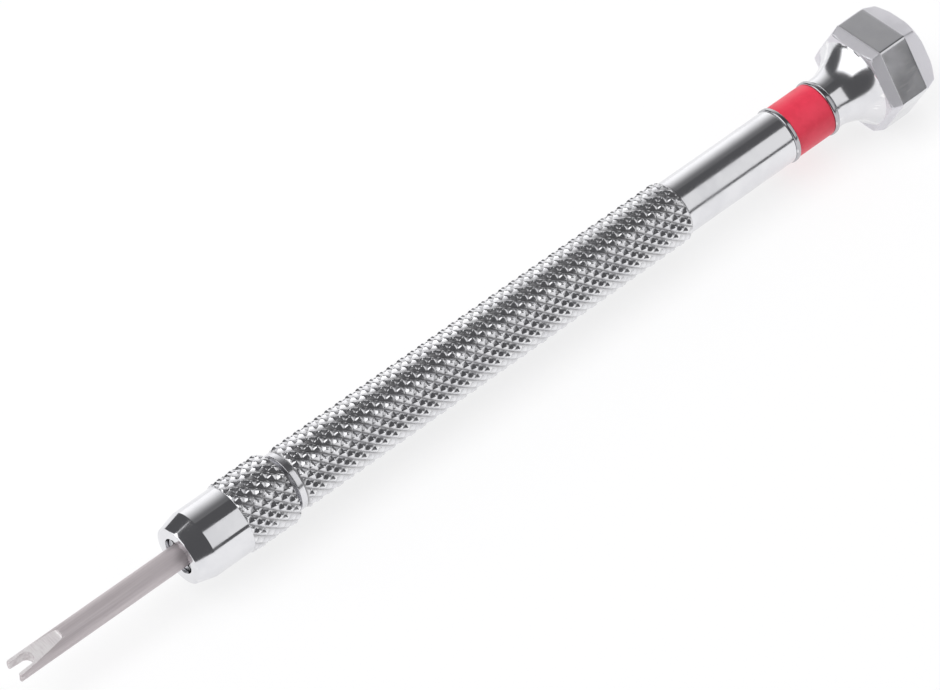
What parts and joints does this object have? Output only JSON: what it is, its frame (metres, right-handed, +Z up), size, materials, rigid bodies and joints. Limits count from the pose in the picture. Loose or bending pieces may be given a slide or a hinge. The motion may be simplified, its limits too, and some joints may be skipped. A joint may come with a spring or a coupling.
{
  "type": "spring bar tool",
  "caption": "Slim watchmaker's fork tool: forked steel blade in a collet chuck, knurled barrel, colour ring and hexagonal swivel head.",
  "frame": {"origin": "middle of the tool's length and width, on the surface that the head's flat rests on", "axes": "+X along the tool's axis from the fork towards the swivel head, +Z up from the head's lower flat"},
  "size_m": [0.0946, 0.0102, 0.0088],
  "materials": {
    "blade_steel": "ground, lengthwise grain",
    "bright_plate": "bright nickel-chrome plate over turned metal",
    "rim_steel": "turned, semi-bright",
    "hardened_steel": "hardened and polished",
    "red_ring": "satin moulded",
    "washer_brass": "turned"
  },
  "bodies": {
    "handle": {"handle_barrel": "bright_plate", "chuck_spigot": "bright_plate", "neck_washer": "rim_steel", "colour_ring": "red_ring", "bearing_bush": "rim_steel", "ball_seat": "hardened_steel"},
    "collet": {"collet": "hardened_steel"},
    "chuck_nut": {"chuck_nut": "bright_plate"},
    "blade": {"fork_blade": "blade_steel"},
    "head": {"swivel_head": "bright_plate", "head_spindle": "hardened_steel", "spindle_clip": "hardened_steel", "clip_washer": "washer_brass", "thrust_ball": "hardened_steel"}
  },
  "joints": [
    {"name": "collet_feed", "type": "slide", "parent": "handle", "child": "collet", "axis": [-1, 0, 0], "range_m": [0, 0.005]},
    {"name": "chuck_nut_turn", "type": "hinge", "parent": "collet", "child": "chuck_nut", "pos_m": [-0.0261, 0, 0.0044], "axis": [-1, 0, 0], "range_deg": [0, 3600]},
    {"name": "blade_slide", "type": "slide", "parent": "collet", "child": "blade", "axis": [-1, 0, 0], "range_m": [0, 0.0165]},
    {"name": "head_swivel", "type": "hinge", "parent": "handle", "child": "head", "pos_m": [0.0407, 0, 0.0044], "axis": [1, 0, 0], "continuous": true}
  ],
  "couplings": [
    {"joint": "chuck_nut_turn", "follows": "collet_feed", "rad_per_m": 12566}
  ]
}
